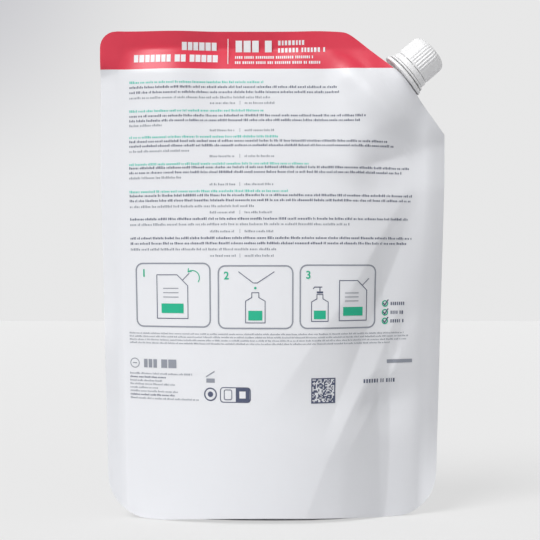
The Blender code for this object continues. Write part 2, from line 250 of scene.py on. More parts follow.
# Each crease runs from start to end, as (across, height). left and right are the widths of its
# two slopes along it, bow is how far each slope swells, and depth is how far it presses the film in.
# A soft crease is rounded at its crest and at its edges, and fade is the share that its end takes to die out.
frontCreases = [
    dict(start=(76, 165), end=(20.5, 30), depth=3.4, left=(4, 13, 30), right=(5, 22, 12), bow=(0, 0.6)),
    dict(start=(65, 100), end=(43.5, 37), depth=1.8, left=(4, 9), right=(10, 26), bow=(0, 1)),
    dict(start=(47.5, 66), end=(51.5, -16), depth=4, left=(3, 26, 44), right=(26, 26), bow=(0, 1)),
]
rearCreases = [
    dict(start=(82, 172), end=(40, 143), depth=2.4, left=(14, 20), right=(8, 14), bow=(-0.5, -0.5)),
    dict(start=(-60, 123), end=(-4, 37), depth=1.6, left=(12, 16), right=(10, 16), bow=(-0.5, -0.5)),
]

gusset = dict(
    skirtMiddle=8, skirtSide=40, seamCurve=2.2, restHalfLength=44, restPress=1.2,
    archRise=2.2, archHalfLength=50, endRun=3, endSag=2, pressPower=4, columns=130, steps=26,
)

spout = dict(
    lean=2.9, boatThickness=11.6, boatDepth=11, boatSetback=2.5, bulgeLength=56, bulgeFade=26,
    mouthLength=38, mouthDepth=14, bulgeFullness=2, bulgeSoftness=1.8, neck=6.2, fitGap=0.3,
)


def ease(value):
    value = np.clip(value, 0, 1)
    return value * value * (3 - 2 * value)


def halfWidthAt(height):
    above = np.clip(height / film["taperHeight"], 0, 1)
    return film["footHalfWidth"] + (film["halfWidth"] - film["footHalfWidth"]) * above


def shoulderDirection():
    length = math.hypot(film["shoulderRun"], film["shoulderDrop"])
    along = np.array([film["shoulderRun"], -film["shoulderDrop"]]) / length
    return along, np.array([-along[1], along[0]]), length


def shoulderLine(inset):
    along, out, length = shoulderDirection()
    overrun = film["shoulderOverrun"]
    place = np.linspace(-overrun, 1 + overrun, film["shoulderSamples"])[:, None]
    fromMiddle = np.sqrt((2 * place - 1) ** 2 + film["crownBlunting"] ** 2)
    start = np.array([film["halfWidth"] - film["shoulderRun"], film["height"]])
    crown = film["shoulderCrown"] * (1 + film["crownBlunting"] - fromMiddle)
    return start + along * length * place + out * (crown - inset)


def topAt(across, inset=0.0):
    line = shoulderLine(inset)
    slope = np.interp(across, line[:, 0], line[:, 1])
    flat = film["height"] - inset
    top = (flat + slope) / 2 - np.sqrt(((flat - slope) / 2) ** 2 + film["shoulderRound"] ** 2)
    radius = film["topCorner"]
    fromEdge = np.clip(radius - (film["halfWidth"] - inset + across), 0, radius)
    return top - radius + np.sqrt(radius**2 - fromEdge**2)


def bottomAt(across):
    radius = film["footCorner"]
    fromEdge = np.clip(radius - (film["halfWidth"] - np.abs(across)), 0, radius)
    return radius - np.sqrt(radius**2 - fromEdge**2)


def archAt(across):
    arch = gusset["archRise"] * (1 - (across / gusset["archHalfLength"]) ** 2)
    return np.maximum(arch, 0)


def spoutPlace():
    along, out, length = shoulderDirection()
    corner = np.array([film["halfWidth"] - film["shoulderRun"], film["height"]])
    middle = corner + along * length / 2 + out * film["shoulderCrown"]
    angle = math.atan2(out[1], out[0]) - math.radians(spout["lean"])
    return middle, np.array([math.cos(angle), math.sin(angle)])


# How far the film stands off the middle where it holds the spout's weld base
def spoutBulge(across, height):
    middle, axis = spoutPlace()
    right, up = across - middle[0], height - middle[1]
    below = -(right * axis[0] + up * axis[1])
    along = right * axis[1] - up * axis[0]
    held = spout["boatThickness"] + 2 * (spout["fitGap"] + film["wall"])
    widening = (spout["bulgeLength"] - spout["mouthLength"]) * ease(below / spout["mouthDepth"])
    share = np.abs(2 * along / (spout["mouthLength"] + widening)) ** spout["bulgeFullness"]
    fade = 1 - ease((below - spout["boatSetback"] - spout["boatDepth"]) / spout["bulgeFade"])
    return held / 2 * np.clip(1 - share, 0, 1) ** spout["bulgeSoftness"] * fade


# How deep the creases press in at a place
def creaseRelief(creases, across, height):
    relief = 0 * (across + height)
    for crease in creases:
        start, end = np.array(crease["start"], float), np.array(crease["end"], float)
        length = math.hypot(*(end - start))
        along = (end - start) / length
        place = ((across - start[0]) * along[0] + (height - start[1]) * along[1]) / length
        sideways = (height - start[1]) * along[0] - (across - start[0]) * along[1]
        left = np.interp(place, np.linspace(0, 1, len(crease["left"])), crease["left"])
        right = np.interp(place, np.linspace(0, 1, len(crease["right"])), crease["right"])
        slope = 1 - np.clip(np.where(sideways > 0, sideways / right, -sideways / left), 0, 1)
        if crease.get("soft"):
            slope = ease(slope)
        else:
            bow = np.where(sideways > 0, crease["bow"][1], crease["bow"][0])
            slope = slope * (1 + bow * (1 - slope))
        fade = crease.get("fade", film["creaseFade"])
        ends = ease(place / film["creaseFade"]) * ease((1 - place) / fade)
        relief = relief + crease["depth"] * ends * slope
    return relief


# How far one film stands from the pouch's middle plane
def halfDepth(across, height, creases):
    side = np.clip(1 - (across / (film["halfWidth"] - film["sealWidth"])) ** 2, 0, 1)
    belly = film["bellyHeight"]
    above = np.clip((height - belly) / (topAt(across, film["sealWidth"]) - belly), 0, 1)
    below = np.clip((belly - height) / belly, 0, 1)
    full = film["bellyDepth"] * (1 - above**2) - (film["bellyDepth"] - film["footDepth"]) * below**2
    filled = full / 2 * side
    slack = np.clip(filled / film["slackDepth"], 0, 1)
    filled = np.maximum(filled - creaseRelief(creases, across, height) * slack, 0)
    filled = (filled**3 + spoutBulge(across, height) ** 3) ** (1 / 3)
    return film["sealThickness"] / 2 + filled + swellAt(across, height)


# How the whole pouch bends: its right side leans back, both side seals swing back further,
# and the top seal waves
swing = dict(
    spread=0.11, lean=0.17, leanFrom=30, leanRise=6, leanHigh=0.3, leanFull=85, leanFaded=140,
    top=196, full=150, low=45, foot=4, inset=8.5, sealRise=2.5, rightSeal=0.65, leftSeal=0.3,
    leftLow=70, leftFull=95, leftTop=204, leftEnd=192,
    folds=[
        dict(start=(92, 171), end=(34, 153), depth=3, left=(20, 12), right=(22, 14), bow=(-0.5, 0)),
        dict(start=(-77, 224), end=(-74, 195), depth=-1.2, left=(5, 5), right=(10, 10), bow=(1, 0)),
        dict(start=(-44, 250), end=(-41, 100), depth=-2.8, left=(24, 24), right=(20, 20), soft=True, fade=0.8),
        dict(start=(-72, 208), end=(16, 208), depth=2.4, left=(11, 11), right=(11, 11), bow=(0, 0)),
        dict(start=(46, 250), end=(37, 130), depth=-1.4, left=(20, 20), right=(12, 12), soft=True, fade=0.75),
        dict(start=(12, 228), end=(38, 188), depth=-1.1, left=(9, 9), right=(9, 9), soft=True),
    ],
)

# Where the two films stand off each other: a puff below the top seal, and a ridge beside the spout
swell = dict(
    puff=1.5, puffRun=8, puffFade=30, sideRun=14, ridgeRun=12,
    ridge=[dict(start=(57, 202), end=(36, 144), depth=2, left=(32, 32), right=(20, 20), soft=True)],
)


def swingAt(across, height):
    leaning = np.clip(across - swing["leanFrom"], 0, None)
    inner = film["halfWidth"] - swing["inset"]
    right, left = np.clip(across - inner, 0, None), np.clip(-across - inner, 0, None)
    upper = ease((swing["top"] - height) / (swing["top"] - swing["full"]))
    lower = ease((height - swing["foot"]) / (swing["low"] - swing["foot"]))
    leftUpper = ease((height - swing["leftLow"]) / (swing["leftFull"] - swing["leftLow"]))
    leftUpper = leftUpper * ease((swing["leftTop"] - height) / (swing["leftTop"] - swing["leftEnd"]))
    faded = ease((height - swing["leanFull"]) / (swing["leanFaded"] - swing["leanFull"]))
    lean = 1 - (1 - swing["leanHigh"]) * faded
    back = swing["lean"] * lean * leaning**2 / (leaning + swing["leanRise"])
    back = (back + swing["rightSeal"] * right**2 / (right + swing["sealRise"]) * lower) * upper
    back = back + swing["leftSeal"] * left**2 / (left + swing["sealRise"]) * leftUpper
    return back + creaseRelief(swing["folds"], across, height)


def swellAt(across, height):
    fromSeal = np.clip(topAt(across, film["sealWidth"]) - height, 0, None)
    fromSide = np.clip(film["halfWidth"] - film["sealWidth"] - np.abs(across), 0, None)
    puff = swell["puff"] * (1 - np.exp(-fromSeal / swell["puffRun"])) * np.exp(-fromSeal / swell["puffFade"])
    puff = puff * ease(fromSide / swell["sideRun"])
    ridge = creaseRelief(swell["ridge"], across, height) * ease(fromSeal / swell["ridgeRun"])
    return puff + ridge


def filmPoint(across, height, side, creases, inward=0.0):
    across, height = np.broadcast_arrays(across, height)
    depth = np.maximum(halfDepth(across, height, creases) - inward, 0)
    back = swingAt(across, height)
    drawn = across * halfWidthAt(height) / film["halfWidth"]
    drawn = drawn + swing["spread"] * np.clip(back, 0, None) * ease(across / film["halfWidth"])
    return np.stack([drawn, side * depth + back, height], axis=-1) * metre


def filmColumns():
    turn = np.linspace(0, math.pi / 2, film["cornerColumns"] + 1)
    fromEdge = film["footCorner"] * (1 - np.cos(turn))
    fromEdge[np.argmin(np.abs(fromEdge - film["sealWidth"]))] = film["sealWidth"]
    inner = film["halfWidth"] - film["footCorner"]
    even = np.linspace(-inner, inner, film["columns"])
    left = fromEdge[:-1] - film["halfWidth"]
    return np.concatenate([left, even, -left[::-1]])


def seamAt(across):
    reach = film["halfWidth"] - film["sealWidth"]
    share = np.clip(np.abs(across) / reach, 0, 1) ** gusset["seamCurve"]
    return gusset["skirtMiddle"] + (gusset["skirtSide"] - gusset["skirtMiddle"]) * share


def gridShape(points, shape=None):
    shape = shape or bmesh.new()
    corners = [[shape.verts.new(point) for point in line] for line in points]
    for i in range(len(corners) - 1):
        for k in range(len(corners[0]) - 1):
            shape.faces.new((corners[i][k], corners[i + 1][k], corners[i + 1][k + 1], corners[i][k + 1]))
    return shape


# One film: up the inside of the skirt, round its hem, up the outside and over the top edge
def makeFilmSheet(name, side, creases, materials):
    across = filmColumns()[:, None]
    bottom, top, innerTop = bottomAt(across), topAt(across), topAt(across, film["sealWidth"])
    bottom = np.maximum(bottom, archAt(across))
    body = bottom + (innerTop - bottom) * np.linspace(0, 1, film["bodyRows"] + 1)
    seal = innerTop + (top - innerTop) * np.linspace(0, 1, film["sealRows"] + 1)
    height = np.concatenate([body, seal[:, 1:]], axis=1)
    outside = filmPoint(across, height, side, creases)
    skirt = np.maximum(seamAt(across), bottom)
    inner = skirt + (bottom - skirt) * np.linspace(0, 1, film["skirtRows"] + 1)
    inside = filmPoint(across, inner, side, creases, film["wall"])
    lip = np.concatenate([top, top - film["lipDepth"]], axis=1)
    over = filmPoint(across, lip, side, creases, film["wall"])
    points = np.concatenate([inside, outside, over], axis=1)
    edge = points.copy()[[0, -1]]
    sides = np.array([[-film["halfWidth"]], [film["halfWidth"]]])
    edge[:, :, 1] = swingAt(sides, edge[:, :, 2] / metre) * metre
    points = np.concatenate([edge[:1], points, edge[1:]], axis=0)
    shape = gridShape(points if side < 0 else points[::-1])
    bandEdge = (film["height"] - film["bandHeight"]) * metre
    everything = [*shape.verts, *shape.edges, *shape.faces]
    cut = dict(plane_co=(0, 0, bandEdge), plane_no=(0, 0, 1), dist=1e-7)
    bmesh.ops.bisect_plane(shape, geom=everything, **cut)
    for face in shape.faces:
        face.smooth = True
        face.material_index = int(face.calc_center_median().z > bandEdge)
    sheet = addPiece(name, shape, materials, "root")
    sheet.data.set_sharp_from_angle(angle=math.radians(film["sharpAngle"]))
    return sheet


# The bottom gusset hangs between the two seams and is pressed flat on the floor in the middle
def makeGussetSheet(material):
    reach = film["halfWidth"] - film["sealWidth"]
    across = np.linspace(-reach, reach, gusset["columns"])[:, None]
    share = np.linspace(-1, 1, gusset["steps"] * 2 + 1)
    seam = seamAt(across)
    rest = gusset["restHalfLength"]
    lift = ease((np.abs(across) - rest) / (reach - gusset["endRun"] - rest))
    sag = (seam + gusset["restPress"]) * (1 - lift) + gusset["endSag"] * lift
    front = halfDepth(across, seam, frontCreases) - film["wall"]
    rear = halfDepth(across, seam, rearCreases) - film["wall"]
    height = np.maximum(seam - sag * (1 - share ** gusset["pressPower"]), 0)
    depth = share * np.maximum(np.where(share < 0, front, rear), 0) + swingAt(across, height)
    drawn = across * halfWidthAt(height) / film["halfWidth"] + 0 * share
    shape = gridShape(np.stack([drawn, depth, height], axis=-1) * metre)
    bmesh.ops.reverse_faces(shape, faces=shape.faces)
    for face in shape.faces:
        face.smooth = True
    return addPiece("gussetFilm", shape, [material], "root")


white = dict(colour=(0.84, 0.85, 0.88), mottle=0.5, bump=0.25, dull=0.1, coat=0.05)
red = dict(colour=(0.76, 0.034, 0.075), mottle=0.8, bump=0.3, dull=0.08, coat=0.18)
filmWhite = makeFilmMaterial("printedFilm", **white)
filmRed = makeFilmMaterial("redHeaderInk", **red)
frontSheet = makeFilmSheet("frontFilm", -1, frontCreases, [filmWhite, filmRed])
rearSheet = makeFilmSheet("rearFilm", 1, rearCreases, [filmWhite, filmRed])
gussetSheet = makeGussetSheet(filmWhite)
for sheet in (frontSheet, rearSheet, gussetSheet):
    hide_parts("pouch")
print("film, rear film and gusset made")


# The print: flat ink on the front film, drawn as (across, height) outlines and laid on it

ink = dict(
    lift=0.11, step=1.6, seed=5, endReach=0.6, discSteps=28,
    letters=(2, 9), widths=(0.26, 0.5), heights=(0.72, 0.72, 1.0), letterGap=0.3, wordGap=0.4, overrun=0.3,
)
inkShapes = {"navyInk": [], "tealInk": [], "mintInk": [], "whiteInk": [], "greyInk": []}


def printBar(colour, left, right, low, high):
    count = max(1, math.ceil((right - left) / ink["step"]))
    places = np.linspace(left, right, count + 1)
    for one, other in zip(places, places[1:]):
        inkShapes[colour].append([(one, low), (other, low), (other, high), (one, high)])


def printStroke(colour, points, width, closed=False):
    points = [Vector(point) for point in points]
    if closed:
        points.append(points[0])
    for one, other in zip(points, points[1:]):
        count = max(1, math.ceil((other - one).length / ink["step"]))
        along = (other - one).normalized()
        side = Vector((-along.y, along.x)) * width / 2
        reach = along * width / 2 * ink["endReach"]
        start, end = one - reach, other + reach
        for i in range(count):
            near, far = start.lerp(end, i / count), start.lerp(end, (i + 1) / count)
            inkShapes[colour].append([near - side, far - side, far + side, near + side])


def printDisc(colour, middle, radius, inner=0.0):
    turns = [2 * math.pi * i / ink["discSteps"] for i in range(ink["discSteps"] + 1)]
    for one, other in zip(turns, turns[1:]):
        ring = [(radius, one), (radius, other), (inner, other), (inner, one)]
        corners = [(middle[0] + r * math.cos(a), middle[1] + r * math.sin(a)) for r, a in ring]
        inkShapes[colour].append(corners if inner else corners[:3])


def roundedOutline(left, right, low, high, radius, steps=5):
    corners = [(right - radius, high - radius, 0), (left + radius, high - radius, 90)]
    corners += [(left + radius, low + radius, 180), (right - radius, low + radius, 270)]
    points = []
    for x, z, start in corners:
        for i in range(steps + 1):
            turn = math.radians(start + 90 * i / steps)
            points.append((x + radius * math.cos(turn), z + radius * math.sin(turn)))
    return points


# A line of small blocks in word-like groups, which stands for a line of text
def printWords(colour, left, right, base, size, dice, **style):
    widths, tall = style.get("widths", ink["widths"]), style.get("tall", ink["heights"])
    gap = style.get("gap", ink["letterGap"])
    x = left
    while x < right:
        for _ in range(dice.randint(*ink["letters"])):
            width = size * dice.uniform(*widths)
            if x + width > right + ink["overrun"]:
                return
            top = base + size * dice.choice(tall)
            inkShapes[colour].append([(x, base), (x + width, base), (x + width, top), (x, top)])
            x += width + size * gap
        x += size * ink["wordGap"]


# Paragraphs: the left edge, then for each line its right end and its height, then the short centred lines
paragraphs = dict(
    left=-63.4, size=1.05, headings=5, centreSize=0.95, barReach=0.8,
    columns=[(-27.5, -16.5), (-14.4, -14.2), (-12.2, 0.6)],
    blocks=[
        [(-4, 192.3), (28, 190.1), (30, 187.8), (-1, 185.4)],
        [(-4, 179.5), (40.6, 177.3), (38.6, 175.2), (-49, 173.1)],
        [(2.4, 167.9), (50.2, 166), (53.4, 164), (-36.2, 161.7)],
        [(16, 155.9), (60.1, 154.3), (56.8, 152.2), (-39.9, 149.9)],
        [(6.6, 143.8), (61.9, 142), (61.1, 139.8), (-8.3, 137.2)],
        [(60.4, 131.7), (34, 129.3)],
        [(62.3, 123.3), (60.6, 121), (1.3, 118.4)],
    ],
    centres=[182.9, 170.7, 159.2, 146.8, 134.5, 126.2, 115.6],
)


def printParagraphs(dice):
    size = paragraphs["size"]
    for index, block in enumerate(paragraphs["blocks"]):
        for row, (right, height) in enumerate(block):
            heading, closing = row == 0 and index < paragraphs["headings"], row == len(block) - 1
            colour = "mintInk" if heading else "greyInk" if closing else "navyInk"
            printWords(colour, paragraphs["left"], right, height - size / 2, size, dice)
    before, bar, after = paragraphs["columns"]
    reach, small = size * paragraphs["barReach"], size * paragraphs["centreSize"]
    for height in paragraphs["centres"]:
        printWords("greyInk", *before, height - size / 2, small, dice)
        printBar("greyInk", *bar, height - reach, height + reach)
        printWords("greyInk", *after, height - size / 2, small, dice)


header = dict(
    bars=[
        (-40.2, -23, 206.9, 210.5), (-61.5, -23, 201.4, 204.8), (-16.4, 1, 206.2, 211.4),
    ],
    words=[
        (2.5, 15, 209.3, 2.3), (2.5, 23.3, 206, 2.3), (-16.6, 18.4, 203.1, 1.4), (-16.6, 21.1, 200.6, 1.4),
    ],
    divider=(-19.95, -19.6, 200.6, 212.2),
    barStyle=dict(widths=(0.5, 0.68), tall=(1,), gap=0.13),
    wordStyle=dict(widths=(0.3, 0.5), tall=(0.9,), gap=0.24),
)


def printHeader(dice):
    for left, right, low, high in header["bars"]:
        printWords("whiteInk", left, right, low, high - low, dice, **header["barStyle"])
    for left, right, base, size in header["words"]:
        printWords("whiteInk", left, right, base, size, dice, **header["wordStyle"])
    printBar("whiteInk", *header["divider"])


# Three panels that show the refill: twist the cap off, pour, and close
panels = dict(
    boxes=[(-61.1, -27.6, 84.6, 112.2), (-23.9, 8.9, 84.1, 111.1), (12.2, 45.9, 84.1, 111.4)],
    corner=3, line=0.62, figure=4.7, figureBold=0.09, figurePlace=(2.4, 5.8),
    # Each icon: its panel, its place there, its width and its height
    pouches=[(0, 9.5, 3.6, 14, 19), (2, 17.4, 3.2, 12.4, 17.4)],
    bottles=[(1, 12, 2.4, 8.6, 13), (2, 5, 3, 7.4, 11.6)],
)

# The icons' inner places are shares of their width and height
pouchIcon = dict(
    line=0.34, slope=0.34, neck=0.42, lean=0.72, spout=[(0.9, 1.3), (1.8, 1.3), (2.7, 1)], spoutLine=0.3,
    field=(0.14, 0.12, 0.34), rows=(0.48, 0.58, 0.68), rowMargins=(0.2, 0.3), rowTall=0.35,
)
bottleIcon = dict(
    line=0.34, shoulder=0.72, neckFoot=0.84, neck=(0.32, 0.68), field=(0.14, 0.86, 0.08, 0.4),
    pumpBars=[(1.4, 0.5, 1.3), (0.2, 1.3, 3)], pumpHead=[(0.9, 3.2), (-2.4, 3.2), (-2.9, 2.5)], pumpLine=0.4,
)


def printPouchIcon(x, z, width, tall):
    right, top = x + width, z + tall
    slope, lean = width * pouchIcon["slope"], pouchIcon["lean"]
    outline = [(x, z), (right, z), (right, top - slope), (right - slope, top), (x, top)]
    neck = (right - slope * pouchIcon["neck"], top - slope * pouchIcon["neck"])
    printStroke("navyInk", outline, pouchIcon["line"], closed=True)
    for reach, half in pouchIcon["spout"]:
        middle = Vector((neck[0] + reach * lean, neck[1] + reach * lean))
        along = Vector((lean, lean)) * half
        printStroke("navyInk", [middle + along, middle - along], pouchIcon["spoutLine"])
    margin, low, high = pouchIcon["field"]
    printBar("tealInk", x + width * margin, right - width * margin, z + tall * low, z + tall * high)
    left, end = x + width * pouchIcon["rowMargins"][0], right - width * pouchIcon["rowMargins"][1]
    for share in pouchIcon["rows"]:
        printBar("greyInk", left, end, z + tall * share, z + tall * share + pouchIcon["rowTall"])


def printBottleIcon(x, z, width, tall, pump):
    right, shoulder, foot = x + width, z + tall * bottleIcon["shoulder"], z + tall * bottleIcon["neckFoot"]
    near, far = (x + width * share for share in bottleIcon["neck"])
    outline = [(x, z), (right, z), (right, shoulder), (far, foot)]
    outline += [(far, z + tall), (near, z + tall), (near, foot), (x, shoulder)]
    printStroke("navyInk", outline, bottleIcon["line"], closed=True)
    left, end, low, high = bottleIcon["field"]
    printBar("tealInk", x + width * left, x + width * end, z + tall * low, z + tall * high)
    if pump:
        middle, top = x + width / 2, z + tall
        for half, low, high in bottleIcon["pumpBars"]:
            printBar("navyInk", middle - half, middle + half, top + low, top + high)
        head = [(middle + across, top + up) for across, up in bottleIcon["pumpHead"]]
        printStroke("navyInk", head, bottleIcon["pumpLine"])


def printFigure(text, x, z, size):
    curve = bpy.data.curves.new("panelNumber", "FONT")
    curve.body = text
    curve.size = size
    curve.offset = panels["figureBold"]
    number = addObject("panelNumber", curve)
    bpy.context.view_layer.update()
    mesh = bpy.data.meshes.new_from_object(number.evaluated_get(bpy.context.evaluated_depsgraph_get()))
    for face in mesh.polygons:
        corners = [mesh.vertices[i].co for i in face.vertices]
        inkShapes["tealInk"].append([(x + corner.x, z + corner.y) for corner in corners])
    bpy.data.objects.remove(number)
    bpy.data.curves.remove(curve)
    bpy.data.meshes.remove(mesh)


# The turning arrow lies over the first panel's pouch, and the second panel shows a stream into a bottle
arrow = dict(
    middle=(25.6, 21.3), radius=3.2, ends=(-0.6, 2.2), points=9, barbs=[(0.2, 1.5), (1.5, 0.3)], line=0.42,
)
stream = dict(
    strokes=[[(9, 2.6), (15.4, 7.4), (17.2, 7.4)], [(24.6, 2.6), (17.2, 7.4)]], line=0.34,
    drop=(16.3, 9.6), dropRadius=0.55,
)


def printPanels():
    across, down = panels["figurePlace"]
    for index, (left, right, low, high) in enumerate(panels["boxes"]):
        outline = roundedOutline(left, right, low, high, panels["corner"])
        printStroke("greyInk", outline, panels["line"], closed=True)
        printFigure(str(index + 1), left + across, high - down, panels["figure"])
    for index, x, z, width, tall in panels["pouches"]:
        printPouchIcon(panels["boxes"][index][0] + x, panels["boxes"][index][2] + z, width, tall)
    for index, x, z, width, tall in panels["bottles"]:
        printBottleIcon(panels["boxes"][index][0] + x, panels["boxes"][index][2] + z, width, tall, index == 2)
    left, right, low, high = panels["boxes"][0]
    x, z, radius = left + arrow["middle"][0], low + arrow["middle"][1], arrow["radius"]
    turns = np.linspace(*arrow["ends"], arrow["points"])
    arc = [(x + radius * math.cos(turn), z + radius * math.sin(turn)) for turn in turns]
    barbs = [(arc[-1][0] + across, arc[-1][1] + up) for across, up in arrow["barbs"]]
    printStroke("tealInk", arc, arrow["line"])
    printStroke("tealInk", [barbs[0], arc[-1], barbs[1]], arrow["line"])
    left, right, low, high = panels["boxes"][1]
    for stroke in stream["strokes"]:
        printStroke("navyInk", [(left + across, high - down) for across, down in stroke], stream["line"])
    printDisc("tealInk", (left + stream["drop"][0], high - stream["drop"][1]), stream["dropRadius"])


# Small signs and fine print. A bar is (left, right, low, high), and a line is (right end, height).
finePrint = dict(left=-64.8, size=0.7, lines=[(59.2, 81.6), (61.2, 80.2), (60.4, 78.8), (52.6, 77.4)])
notes = dict(
    left=-65, top=63.9, pitch=1.55, size=0.82, drop=0.4, bold=(1, 6),
    ends=(-36, -48, -50, -44, -52, -43, -44.5, -33),
)
signs = dict(
    disc=((-62.6, 68.4), 2.2, 1.85), discBar=(-63.6, -61.6, 68.2, 68.6),
    blocks=[(-58.3, -56.6), (-56.1, -54.4), (-53.9, -52.2), (-50.2, -47.4), (-46.9, -43.2)], blockRows=(66.5, 70.2),
    lidBar=(-29.6, -25.8, 60.6, 62.4), lid=[(-29.6, 63.2), (-26, 65.4)], lidLine=0.5,
    eye=(-27.8, 55.6), eyeRing=(2.9, 2.35), eyeDot=1.2,
    frames=[(-23.3, -9.9, 52.3, 58.6, 1.4, 0.36), (-21.6, -18.2, 53.4, 57.6, 0.7, 0.32)],
    darkHalf=(-16.4, -10.2, 52.5, 58.4), lightField=(-14.8, -12, 54, 57),
    rightBar=(51.8, 63.6, 68.2, 69.8), rightWords=(41.1, 56.4, 59.8, 1.7),
)
ticks = dict(
    heights=(94.5, 90.6, 86.8), middle=50.6, ring=(1.45, 0.95), line=0.5,
    stroke=[(49.8, 0.2), (50.5, -0.7), (52, 1.6)], words=(53.2, 59.4), size=1.45, drop=0.75,
)


def printFootnotes(dice):
    size = finePrint["size"]
    for right, height in finePrint["lines"]:
        printWords("greyInk", finePrint["left"], right, height - size / 2, size, dice)
    printDisc("greyInk", *signs["disc"])
    printBar("greyInk", *signs["discBar"])
    for left, right in signs["blocks"]:
        printBar("greyInk", left, right, *signs["blockRows"])
    for index, right in enumerate(notes["ends"]):
        colour = "navyInk" if index in notes["bold"] else "greyInk"
        base = notes["top"] - notes["pitch"] * index - notes["drop"]
        printWords(colour, notes["left"], right, base, notes["size"], dice)
    printBar("greyInk", *signs["lidBar"])
    printStroke("greyInk", signs["lid"], signs["lidLine"])
    printDisc("navyInk", signs["eye"], *signs["eyeRing"])
    printDisc("navyInk", signs["eye"], signs["eyeDot"])
    for *outline, line in signs["frames"]:
        printStroke("navyInk", roundedOutline(*outline), line, closed=True)
    printBar("navyInk", *signs["darkHalf"])
    printBar("whiteInk", *signs["lightField"])
    printBar("greyInk", *signs["rightBar"])
    printWords("navyInk", *signs["rightWords"], dice, tall=(1,))
    for height in ticks["heights"]:
        printDisc("tealInk", (ticks["middle"], height), *ticks["ring"])
        printStroke("navyInk", [(across, height + up) for across, up in ticks["stroke"]], ticks["line"])
        printWords("navyInk", *ticks["words"], height - ticks["drop"], ticks["size"], dice, tall=(1,))


# A square patch of seeded cells in a plain frame
patch = dict(cells=21, size=0.52, left=17.3, low=51.6, filled=0.46)


def printPatch(dice):
    cells, size, left, low = patch["cells"], patch["size"], patch["left"], patch["low"]
    for row in range(cells):
        for column in range(cells):
            fromSide = min(column, cells - 1 - column, row, cells - 1 - row)
            if fromSide == 0 or dice.random() < patch["filled"]:
                x, z = left + column * size, low + row * size
                inkShapes["navyInk"].append([(x, z), (x + size, z), (x + size, z + size), (x, z + size)])


def makeInkMaterial(name, colour):
    material, tree, shader = newMaterial(name)
    crinkle = placeCrinkle(tree, colour, filmSkin["inkMottle"], filmSkin["inkDull"])
    join(tree, crinkle, "Tint", shader, "Base Color")
    join(tree, crinkle, "Rough", shader, "Roughness")
    return material


def layPrint(colour, material):
    shape = bmesh.new()
    for outline in inkShapes[colour]:
        flat = np.array([(point[0], point[1]) for point in outline], float)
        points = filmPoint(flat[:, 0], flat[:, 1], -1, frontCreases, -ink["lift"])
        corners = [shape.verts.new(point) for point in points]
        face = shape.faces.new(corners)
        face.normal_update()
        if face.normal.y > 0:
            face.normal_flip()
    return addPiece(colour + "Print", shape, [material], "root")


dice = random.Random(ink["seed"])
printParagraphs(dice)
printHeader(dice)
printPanels()
printFootnotes(dice)
printPatch(dice)
inkColours = {
    "navyInk": (0.085, 0.10, 0.17), "tealInk": (0.01, 0.47, 0.27), "mintInk": (0.04, 0.62, 0.49),
    "whiteInk": (0.86, 0.86, 0.88), "greyInk": (0.30, 0.32, 0.37),
}
for colour, value in inkColours.items():
    layPrint(colour, makeInkMaterial(colour, value))
print("print laid on the film")


# The spout, the tamper band and the cap stand on one sloping axis

closure = dict(
    base=6.4, capRadius=9.05, capLength=11.9, edgeRadius=4, wallRadius=7.5, top=1.3, flatRadius=1.6,
    ceilingChamfer=1.5, plugRadius=4, plugWall=1, plugLength=3, plugChamfer=0.3,
    hemRound=0.25, hemMiddle=0.07, mouthChamfer=0.2, edgeSteps=14, wallSteps=22, steps=720, bandTop=6.1,
)
ribs = dict(
    count=6, groups=4, pitch=9, height=0.24, grooveDepth=0.1, shape=0.8, overrun=0.6,
    margin=0.8, sweep=60, sweepFade=14, wallMargin=0.2,
)


def spoutMatrix():
    middle, axis = spoutPlace()
    place = Matrix.Translation((middle[0] * metre, 0, middle[1] * metre))
    return place @ Matrix.Rotation(math.atan2(axis[0], axis[1]), 4, "Y")


# A profile of (radius, height) turned round the axis, with a change to its radius
def turnedShape(profile, steps, change):
    shape = bmesh.new()
    rings = []
    for radius, height in profile:
        if radius < 1e-6:
            rings.append([shape.verts.new((0, 0, height * metre))])
            continue
        ring = []
        for i in range(steps):
            angle = 2 * math.pi * i / steps
            r = radius + change(radius, height, angle)
            x, y = r * math.cos(angle) * metre, r * math.sin(angle) * metre
            ring.append(shape.verts.new((x, y, height * metre)))
        rings.append(ring)
    for one, other in zip(rings, rings[1:]):
        for i in range(steps):
            k = (i + 1) % steps
            if len(one) == 1:
                shape.faces.new((one[0], other[i], other[k]))
            elif len(other) == 1:
                shape.faces.new((one[i], other[0], one[k]))
            else:
                shape.faces.new((one[i], other[i], other[k], one[k]))
    bmesh.ops.recalc_face_normals(shape, faces=shape.faces)
    for face in shape.faces:
        face.smooth = True
    return shape


# How far the grip ribs move the cap's skin out, or their grooves move it in
def ribChange(radius, height, angle):
    above = height - closure["base"] - ribs["margin"] / 2
    crown = closure["capLength"] - closure["edgeRadius"] - ribs["margin"] / 2
    outward = radius - (closure["capRadius"] - closure["edgeRadius"])
    if outward < 0 or above < 0:
        return 0
    if radius < closure["wallRadius"] + ribs["wallMargin"] and above < crown:
        return 0
    sweep = math.degrees(math.atan2(above - crown, max(outward, 0.01)))
    fade = float(ease((ribs["sweep"] - sweep) / ribs["sweepFade"]) * ease(above / ribs["margin"]))
    turn = math.degrees(angle) % (360 / ribs["groups"])
    if turn > 180 / ribs["groups"]:
        turn -= 360 / ribs["groups"]
    place = turn / ribs["pitch"] + (ribs["count"] - 1) / 2
    if not -ribs["overrun"] <= place <= ribs["count"] - 1 + ribs["overrun"]:
        return 0
    wave = 0.5 + 0.5 * math.cos(2 * math.pi * place)
    return fade * (ribs["height"] * wave ** ribs["shape"] - ribs["grooveDepth"] * (1 - wave))


